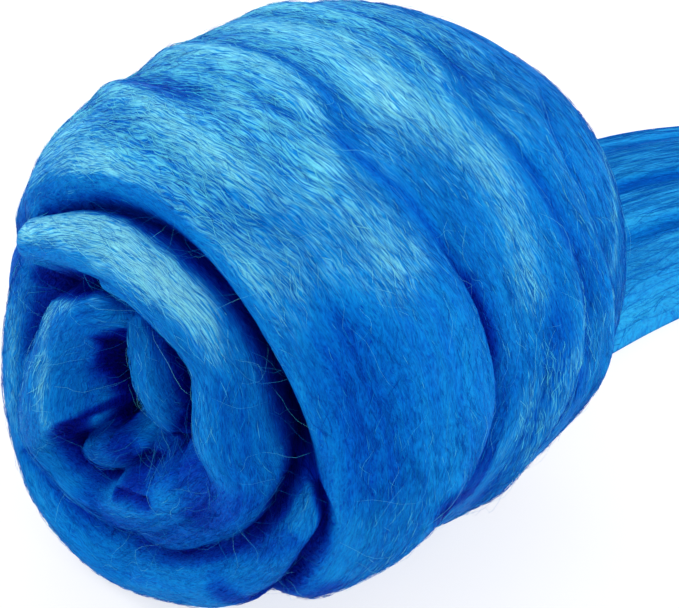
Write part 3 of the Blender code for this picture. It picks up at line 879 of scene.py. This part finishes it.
def make_ball(look):
    """The wound ball with its turns, folds and the low relief of its strands."""
    mesh, turn, row = round_mesh("ball_of_roving", BALL_ROUND_STEPS, BALL_ROWS)
    cone = np.interp(BALL_ROWS - row, *zip(*BALL_ROW_CONES))
    facing = facing_of(cone, np.degrees(turn))
    places = on_ball(facing)
    radius, shown, _ = ball_form(facing)
    arms = facing * radius[:, None]
    maps = grain_maps(facing, arms)
    index = np.arange(len(facing))
    grain = maps[shown + 1, index]
    ropes = slow_noise(np.stack([grain[:, 0] / 38, grain[:, 1] / 3.4, 0 * cone], -1), 1)
    lumps = slow_noise(np.stack([grain[:, 0] / 22, grain[:, 1] / 9.0, 0 * cone], -1), 2)
    hairs = slow_noise(np.stack([grain[:, 0] / 16, grain[:, 1] / 1.5, 0 * cone], -1), 3)
    relief = 0.45 * ropes + 0.5 * lumps + 0.16 * hairs
    relief *= ramp((places[:, 2] - 0.5) / 4)
    places = places + facing * relief[:, None]
    places[:, 2] = np.maximum(places[:, 2], 0)
    set_places(mesh, places)
    _, corners = mesh_arrays(mesh)
    sides = np.empty(len(mesh.polygons), int)
    mesh.polygons.foreach_get("loop_total", sides)
    face = np.repeat(np.arange(len(sides)), sides)
    votes = np.zeros((len(sides), len(maps)))
    np.add.at(votes, (face, shown[corners] + 1), 1)
    chosen = votes.argmax(axis=1)[face]
    uv = maps[chosen, corners]
    first = np.concatenate([[0], np.cumsum(sides)[:-1]])[face]
    girth = np.sin(np.radians(cone)) * GRAIN_RADIUS * 2 * math.pi
    jump = np.rint((uv[:, 0] - uv[first, 0]) / np.maximum(girth[corners], 1))
    uv[:, 0] -= np.where(chosen == 0, jump, 0) * girth[corners]
    layer = mesh.uv_layers.new(name="grain")
    layer.data.foreach_set("uv", (uv / 100).astype(np.float32).ravel())
    column = np.rint(turn / (2 * math.pi) * BALL_ROUND_STEPS).astype(int) % BALL_ROUND_STEPS
    hidden = hidden_share(mesh, BALL_ROWS - row, column)
    # Painted shade: where the ball hides the sky, in cavities, in the drawn creases, at the feet of the turns
    # and in the patches. Painted highlight and painted glints: on the side that faces the light and in the
    # pale patches.
    crease = np.clip(hollows(mesh, 14) / 1.6, 0, 1)
    uncut = facing * (radius + crease_depth(facing))[:, None]
    painted_shade = ramp((hidden - HIDDEN_FROM) / HIDDEN_SPAN) + 0.5 * crease
    painted_shade += crease_shade(uncut) + turn_shade(facing)
    normals = np.empty(len(facing) * 3)
    mesh.vertices.foreach_get("normal", normals)
    painted_lit_side = ramp((normals.reshape(-1, 3) @ PAINTED_LIGHT_TOWARDS - PAINTED_LIGHT_FROM) / (1 - PAINTED_LIGHT_FROM))
    painted_lit_side *= ramp((radius - PAINTED_LIGHT_OUTSIDE) / 8) * ramp((uncut[:, 2] - PAINTED_LIGHT_ABOVE) / 45)
    change = patch_shade(uncut) - PAINTED_LIGHT_BY * painted_lit_side
    painted_shade = np.clip(painted_shade, 0, DARKEST)
    open_share = 1 - np.minimum(painted_shade, 1)
    painted_darker, painted_highlight = np.maximum(change, 0), -np.minimum(change, 0)
    painted_glint = np.clip(PAINTED_GLINT_REST + PAINTED_GLINT_GAIN * painted_highlight - 0.5 * painted_darker, *PAINTED_GLINT_RANGE)
    painted_shade += (painted_darker - 0.4 * painted_highlight) * open_share
    for table, name, values in ((PAINTED_SHADE_TABLE, "painted_shade", painted_shade), (PAINTED_GLINT_TABLE, "painted_glint", painted_glint * open_share)):
        table[BALL_ROWS - row, column] = values
        table[0], table[-1] = table[0, 0], table[-1, 0]
        table[:] = smoothed(table)
        add_values(mesh, name, table[BALL_ROWS - row, column])
    piece = finish_piece("ball_of_roving", mesh, stored(combed_wool, "combed_wool", look))
    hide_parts("ball")
    return piece


# ---------------------------------------------------------------- the loose end

END_ROUND_STEPS = 128
END_ROWS = 200


def end_line(place):
    """The loose end's middle line, heading, width and thickness at a place counted in rows."""
    rows = np.array(LOOSE_END, float)
    right, back, wide, thick = (along(rows[:, k], place) for k in range(4))
    step = 0.05
    ahead = np.stack([along(rows[:, k], place + step) - along(rows[:, k], place - step) for k in (0, 1)], -1)
    return right, back, unit(ahead), wide, thick


def end_top(across, thick):
    """The height of the loose end's top at places across it from 0 to 1."""
    crown = np.maximum(1 - np.abs(2 * across - 1) ** 2.6, 0) ** 0.5
    pleats = sum(deep * np.exp(-(((across - at) / PLEAT_WIDTH) ** 2)) for at, deep in PLEATS)
    return np.maximum(crown * thick * (1 + LEAN * (1 - 2 * across) - pleats / FULL_THICKNESS), 0)


def clear_of_ball(places):
    """Lowers places, in mm, that would be inside the ball until they lie just under it."""
    low = np.zeros(len(places))
    high = places[:, 2].copy()
    for _ in range(BISECTIONS):
        middle = (low + high) / 2
        arm = np.stack([places[:, 0], places[:, 1], middle - CENTRE_HEIGHT], -1)
        reach = np.linalg.norm(arm, axis=1)
        inside = reach < ball_form(arm / reach[:, None])[0] + CLEARANCE
        high = np.where(inside, middle, high)
        low = np.where(inside, low, middle)
    return np.stack([places[:, 0], places[:, 1], low], -1)


def on_end(place, across, lift=0.0):
    """Places, in mm, on the top of the loose end."""
    right, back, ahead, wide, thick = end_line(place)
    x = right + ahead[:, 1] * (across - 0.5) * wide
    y = back - ahead[:, 0] * (across - 0.5) * wide
    return np.stack([x, y, end_top(across, thick) + lift], -1)


def make_loose_end(look):
    """The loose end: a thick, pleated band of roving that lies on the floor and thins out to its tip."""
    mesh, turn, row = round_mesh("loose_end_of_roving", END_ROUND_STEPS, END_ROWS)
    last = len(LOOSE_END) - 1
    spot = row / END_ROWS
    place = last * spot
    across = 0.5 - 0.5 * np.cos(turn)
    top = np.sin(turn) > 0
    right, back, ahead, wide, thick = end_line(place)
    squeeze = ramp(np.minimum(row, END_ROWS - row) / 3) * 0.98 + 0.02
    squeeze[(row == 0) | (row == END_ROWS)] = 0
    grain = np.stack([spot * 226, across * wide], -1)
    ropes = slow_noise(np.stack([grain[:, 0] / 45, grain[:, 1] / 4.0, 0 * spot], -1), 4)
    hairs = slow_noise(np.stack([grain[:, 0] / 20, grain[:, 1] / 1.6, 0 * spot], -1), 5)
    side = (across - 0.5) * squeeze
    x = right + ahead[:, 1] * side * wide
    y = back - ahead[:, 0] * side * wide
    height = np.where(top, end_top(across, thick) * squeeze, 0)
    height += np.where(top, (0.7 * ropes + 0.25 * hairs) * ramp(height / 6), 0)
    places = clear_of_ball(np.stack([x, y, np.maximum(height, 0)], -1))
    set_places(mesh, places)
    _, corners = mesh_arrays(mesh)
    layer = mesh.uv_layers.new(name="grain")
    layer.data.foreach_set("uv", (grain[corners] / 100).astype(np.float32).ravel())
    # Painted shade in the loose end's creases, less an even painted lightening of the whole loose end, and a
    # faint even painted glint.
    add_values(mesh, "painted_shade", np.clip(hollows(mesh, 14) / 1.6, 0, 1) * 0.8 - 0.22)
    add_values(mesh, "painted_glint", np.full(len(mesh.vertices), 0.02))
    wool = stored(combed_wool, "combed_wool", look)
    piece = finish_piece("loose_end_of_roving", mesh, wool)
    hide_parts("loose_end")
    return piece


# ---------------------------------------------------------------- fibres

def follow(facing, heading_of, steps, step_mm, drift):
    """Lines of directions that follow the fibres over the ball, turned aside by a drift angle in radians."""
    line = [facing]
    last = heading_of(facing)
    for k in range(steps):
        here = line[-1]
        heading = heading_of(here)
        heading *= np.sign((heading * last).sum(-1, keepdims=True) + 1e-9)
        last = heading
        aside = np.cross(here, heading)
        swing = drift[:, None] * np.sin(2.2 * k / steps + 7 * drift[:, None])
        heading = heading + swing * aside
        line.append(unit(here + heading * step_mm[:, None] / MEAN_RADIUS))
    return np.stack(line, 1)


def random_facing(rng, count, low_z=-0.80):
    """Random directions from the ball's centre, above a height."""
    found = unit(rng.normal(size=(int(count * 1.6) + 50, 3)))
    return found[found[:, 2] > low_z][:count]


def make_combed_fibres(name, count, seed, look, low=0.0, high=0.35):
    """Fibres that lie along the turns and folds of the ball, slightly proud of them."""
    rng = np.random.default_rng(seed)
    points = 4
    facing = random_facing(rng, count)
    step = rng.uniform(0.6, 2.0, count)
    drift = rng.normal(0, 0.45, count)
    lines = follow(facing, fibre_heading, points - 1, step, drift)
    flat = lines.reshape(-1, 3)
    lift = rng.uniform(low, high, (count, 1)) + rng.normal(0, 0.05, (count, points))
    lift[:, [0, -1]] -= 0.12
    places = on_ball(flat, lift.ravel()).reshape(count, points, 3)
    places[..., 2] = np.maximum(places[..., 2], 0.1)
    radii = rng.uniform(0.03, 0.07, count)
    # Painted glints: where the ball has them, more fibres take a tone towards glint blue.
    painted_glint = looked_up(PAINTED_GLINT_TABLE, facing)
    lit = rng.uniform(0, 1, count) < 0.05 + 0.7 * painted_glint
    tones = np.where(lit, 0.7 + 0.3 * np.minimum(1, painted_glint / 0.5 + rng.uniform(-0.3, 0.4, count)),
                     rng.uniform(0.05, 0.62, count))
    # The ball's painted shade along each fibre.
    painted_shade = looked_up(PAINTED_SHADE_TABLE, flat).reshape(count, points)
    mesh = fibres_mesh(name, places, radii, tones, painted_shade)
    return finish_piece(name, mesh, stored(loose_fibre_wool, "single_fibres", look))


def make_flyaways(name, count, seed, look):
    """Curly hairs that stand off the ball and cross its creases."""
    rng = np.random.default_rng(seed)
    points = 7
    facing = random_facing(rng, count)
    heading = fibre_heading(facing)
    aside = np.cross(facing, heading)
    angle = rng.normal(0, 0.7, count)[:, None]
    course = np.cos(angle) * heading + np.sin(angle) * aside
    length = rng.uniform(5, 19, count)[:, None, None]
    t = np.linspace(0, 1, points)[None, :, None]
    bend = rng.normal(0, 0.45, count)[:, None, None]
    side = np.cross(facing, course)[:, None]
    flat = unit(facing[:, None] * MEAN_RADIUS + course[:, None] * t * length
                + side * bend * length * t * (1 - t) + side * 0.6 * np.sin(8 * t + 6 * bend))
    radius = ball_form(flat.reshape(-1, 3))[0].reshape(count, points)
    chord = np.linspace(radius[:, 0], radius[:, -1], points).T
    lift = rng.gamma(1.3, 0.32, count)[:, None] * np.sin(np.pi * t[..., 0] ** 0.8)
    reach = np.maximum(radius + 0.15, chord) + lift - 0.2 * (np.abs(2 * t[..., 0] - 1) > 0.99)
    places = flat * reach[..., None]
    places[..., 2] = np.maximum(places[..., 2] + CENTRE_HEIGHT, 0.1)
    radii = rng.uniform(0.014, 0.028, count)
    tones = rng.beta(3, 1.5, count)
    # A little of the ball's painted shade.
    painted_shade = 0.15 * looked_up(PAINTED_SHADE_TABLE, flat.reshape(-1, 3)).reshape(count, points)
    mesh = fibres_mesh(name, places, radii, tones, painted_shade)
    return finish_piece(name, mesh, stored(loose_fibre_wool, "single_fibres", look))


def make_end_fibres(name, count, seed, look):
    """Fibres that lie along the loose end, up to its tip."""
    rng = np.random.default_rng(seed)
    points = 6
    last = len(LOOSE_END) - 1
    start = rng.uniform(0.5, last - 0.6, count)
    across = np.clip(rng.uniform(0.01, 0.99, count), 0, 1)
    t = np.linspace(0, 1, points)[None]
    reach = rng.uniform(0.4, 1.3, count)[:, None]
    place = np.minimum(start[:, None] + reach * t, last)
    drift = rng.normal(0, 0.02, count)[:, None]
    line = np.clip(across[:, None] + drift * np.sin(3 * t), 0, 1)
    lift = rng.uniform(0, 0.5, count)[:, None] + 0 * t
    lift[:, [0, -1]] -= 0.15
    places = on_end(place.ravel(), line.ravel(), lift.ravel())
    arm = places - np.array([0, 0, CENTRE_HEIGHT])
    far = np.linalg.norm(arm, axis=1)
    inside = far < ball_form(arm / far[:, None])[0] + 0.3
    places = places.reshape(count, points, 3)
    keep = ~inside.reshape(count, points).any(axis=1)
    radii = rng.uniform(0.04, 0.08, count)
    tones = 0.25 + 0.4 * rng.beta(2.2, 1.9, count)
    mesh = fibres_mesh(name, places[keep], radii[keep], tones[keep], 0 * places[keep][..., 0])
    return finish_piece(name, mesh, stored(loose_fibre_wool, "single_fibres", look))


# ---------------------------------------------------------------- the stage

VIEW_AZIMUTH = 40.0
VIEW_ELEVATION = 34.0
VIEW_DISTANCE = 0.70
VIEW_TARGET = (0.0, 0.0, 0.0625)
FOCAL_PIXELS = 2970.0
TARGET_PIXEL = (306.0, 302.0)
IMAGE_WIDTH = 679.0
IMAGE_HEIGHT = 608.0
SENSOR_WIDTH = 36.0
FLOOR_HALF_WIDTH = 3.0
FLOOR_GLOW = 0.72
LIGHT_TARGET = (0, 0, 0.06)


def back_from_target(azimuth, elevation):
    """The direction from the target to a viewer; azimuth 0 looks along +Y."""
    a, e = math.radians(azimuth), math.radians(elevation)
    return Vector((math.sin(a) * math.cos(e), -math.cos(a) * math.cos(e), math.sin(e)))


def look_at(obj, place, target):
    """Puts an object at a place, turned to face a target."""
    obj.location = place
    obj.rotation_euler = (Vector(target) - Vector(place)).to_track_quat("-Z", "Y").to_euler()


def add_camera():
    """The camera, set so that the target shows at its own place in the picture."""
    data = bpy.data.cameras.new("camera")
    data.sensor_fit = "HORIZONTAL"
    data.sensor_width = SENSOR_WIDTH
    data.lens = SENSOR_WIDTH * FOCAL_PIXELS / IMAGE_WIDTH
    data.shift_x = (IMAGE_WIDTH / 2 - TARGET_PIXEL[0]) / IMAGE_WIDTH
    data.shift_y = -(IMAGE_HEIGHT / 2 - TARGET_PIXEL[1]) / IMAGE_WIDTH
    data.clip_end = 20.0
    camera = bpy.data.objects.new("camera", data)
    bpy.context.scene.collection.objects.link(camera)
    place = Vector(VIEW_TARGET) + VIEW_DISTANCE * back_from_target(VIEW_AZIMUTH, VIEW_ELEVATION)
    look_at(camera, place, VIEW_TARGET)
    bpy.context.scene.camera = camera


def add_soft_light(name, place, target, size, watts):
    """A round, soft light that faces a target."""
    data = bpy.data.lights.new(name, "AREA")
    data.shape = "DISK"
    data.size = size
    data.energy = watts
    light = bpy.data.objects.new(name, data)
    bpy.context.scene.collection.objects.link(light)
    look_at(light, place, target)


def add_floor():
    """A wide floor that stays near white."""
    bm = bmesh.new()
    bmesh.ops.create_grid(bm, x_segments=1, y_segments=1, size=FLOOR_HALF_WIDTH)
    mesh = bpy.data.meshes.new("floor")
    bm.to_mesh(mesh)
    bm.free()
    paint = bpy.data.materials.new("pale_floor")
    paint.use_nodes = True
    shader = paint.node_tree.nodes["Principled BSDF"]
    shader.inputs["Base Color"].default_value = (0.3, 0.3, 0.3, 1)
    shader.inputs["Emission Color"].default_value = (1, 1, 1, 1)
    shader.inputs["Emission Strength"].default_value = FLOOR_GLOW
    shader.inputs["Roughness"].default_value = 0.9
    mesh.materials.append(paint)
    floor = bpy.data.objects.new("floor", mesh)
    bpy.context.scene.collection.objects.link(floor)


def add_world(strength):
    """Even light from all round."""
    world = bpy.data.worlds.new("studio")
    world.use_nodes = True
    background = world.node_tree.nodes["Background"]
    background.inputs["Color"].default_value = (0.97, 0.985, 1.0, 1)
    background.inputs["Strength"].default_value = strength
    bpy.context.scene.world = world


# ---------------------------------------------------------------- the add-on

class RovingLook(bpy.types.PropertyGroup):
    """Colours and amounts of the wool."""

    blue: bpy.props.FloatVectorProperty(
        name="Blue", description="Main colour of the wool",
        default=(0.0008, 0.166, 0.63), size=3, min=0, max=1, subtype="COLOR")
    deep_blue: bpy.props.FloatVectorProperty(
        name="Deep blue", description="Colour of the darkest fibres",
        default=(0.0008, 0.065, 0.44), size=3, min=0, max=1, subtype="COLOR")
    light_blue: bpy.props.FloatVectorProperty(
        name="Light blue", description="Colour of the lightest fibres",
        default=(0.006, 0.30, 0.70), size=3, min=0, max=1, subtype="COLOR")
    # Painted highlight: the colour of the painted glints.
    glint_blue: bpy.props.FloatVectorProperty(
        name="Glint blue", description="Colour of fibres that catch the light",
        default=(0.16, 0.71, 0.85), size=3, min=0, max=1, subtype="COLOR")
    # Painted shade: how far the painted shade darkens and enriches the blue.
    painted_shade_depth: bpy.props.FloatProperty(
        name="Depth of the hollows", description="How much richer the blue gets deep in the creases",
        default=1.5, min=0, max=4)
    combed_count: bpy.props.IntProperty(
        name="Combed fibres", description="Fibres in each of three layers on the ball",
        default=14500, min=0, max=16000)
    end_count: bpy.props.IntProperty(
        name="End fibres", description="Fibres on the loose end", default=4000, min=0, max=8300)
    flyaway_count: bpy.props.IntProperty(
        name="Flyaway hairs", description="Hairs that stand off the ball", default=2400, min=0, max=5500)


class RovingStage(bpy.types.PropertyGroup):
    """Floor and light."""

    key_watts: bpy.props.FloatProperty(
        name="Key light", description="Power of the light on the left", default=2.3, min=0, unit="POWER")
    fill_watts: bpy.props.FloatProperty(
        name="Fill light", description="Power of the light on the right", default=2.0, min=0, unit="POWER")
    sky: bpy.props.FloatProperty(
        name="Sky", description="Strength of the light from all round", default=1.13, min=0)


class ROVING_OT_ball(bpy.types.Operator):
    """Make the wound ball"""

    bl_idname = "roving.ball"
    bl_label = "Ball"

    def execute(self, context):
        make_ball(context.scene.roving_look)
        return {"FINISHED"}


class ROVING_OT_loose_end(bpy.types.Operator):
    """Make the loose end"""

    bl_idname = "roving.loose_end"
    bl_label = "Loose end"

    def execute(self, context):
        make_loose_end(context.scene.roving_look)
        return {"FINISHED"}


class ROVING_OT_combed_fibres(bpy.types.Operator):
    """Lay combed fibres along the ball's turns and folds"""

    bl_idname = "roving.combed_fibres"
    bl_label = "Combed fibres"

    def execute(self, context):
        look = context.scene.roving_look
        for k, layer in enumerate(("lower", "middle", "upper")):
            name = f"combed_fibres_{layer}"
            make_combed_fibres(name, look.combed_count, 11 + k, look, 0.04 * k, 0.15 + 0.15 * k)
        return {"FINISHED"}


class ROVING_OT_end_fibres(bpy.types.Operator):
    """Lay fibres along the loose end"""

    bl_idname = "roving.end_fibres"
    bl_label = "End fibres"

    def execute(self, context):
        look = context.scene.roving_look
        make_end_fibres("loose_end_fibres", look.end_count, 21, look)
        return {"FINISHED"}


class ROVING_OT_flyaways(bpy.types.Operator):
    """Add hairs that stand off the ball"""

    bl_idname = "roving.flyaways"
    bl_label = "Flyaway hairs"

    def execute(self, context):
        look = context.scene.roving_look
        make_flyaways("flyaway_hairs", look.flyaway_count, 31, look)
        return {"FINISHED"}


class ROVING_OT_stage(bpy.types.Operator):
    """Make the floor, lights and camera"""

    bl_idname = "roving.stage"
    bl_label = "Stage"

    def execute(self, context):
        stage = context.scene.roving_stage
        add_floor()
        add_world(stage.sky)
        add_soft_light("key_light", (-0.73, -0.27, 0.60), LIGHT_TARGET, 0.55, stage.key_watts)
        add_soft_light("fill_light", (0.67, 0.39, 0.60), LIGHT_TARGET, 0.5, stage.fill_watts)
        add_camera()
        context.scene.view_settings.view_transform = "Standard"
        return {"FINISHED"}


class ROVING_PT_panel(bpy.types.Panel):
    """The roving's pieces, in the order in which they are made"""

    bl_idname = "ROVING_PT_panel"
    bl_label = "Wool roving"
    bl_space_type = "VIEW_3D"
    bl_region_type = "UI"
    bl_category = "Roving"

    def draw(self, context):
        look = context.scene.roving_look
        stage = context.scene.roving_stage
        for group in (look, stage):
            for key in group.bl_rna.properties.keys():
                if key not in ("rna_type", "name"):
                    self.layout.prop(group, key)
        for step in STEPS:
            self.layout.operator(step.bl_idname)


STEPS = (ROVING_OT_stage, ROVING_OT_ball, ROVING_OT_loose_end, ROVING_OT_combed_fibres, ROVING_OT_end_fibres,
         ROVING_OT_flyaways)
CLASSES = (RovingLook, RovingStage, *STEPS, ROVING_PT_panel)


def register():
    for cls in CLASSES:
        bpy.utils.register_class(cls)
    bpy.types.Scene.roving_look = bpy.props.PointerProperty(type=RovingLook)
    bpy.types.Scene.roving_stage = bpy.props.PointerProperty(type=RovingStage)


def unregister():
    del bpy.types.Scene.roving_look
    del bpy.types.Scene.roving_stage
    for cls in reversed(CLASSES):
        bpy.utils.unregister_class(cls)


def main():
    """Makes every piece."""
    register()
    bpy.ops.roving.stage()
    bpy.ops.roving.ball()
    bpy.ops.roving.loose_end()
    bpy.ops.roving.combed_fibres()
    bpy.ops.roving.end_fibres()
    bpy.ops.roving.flyaways()


if __name__ == "__main__":
    main()
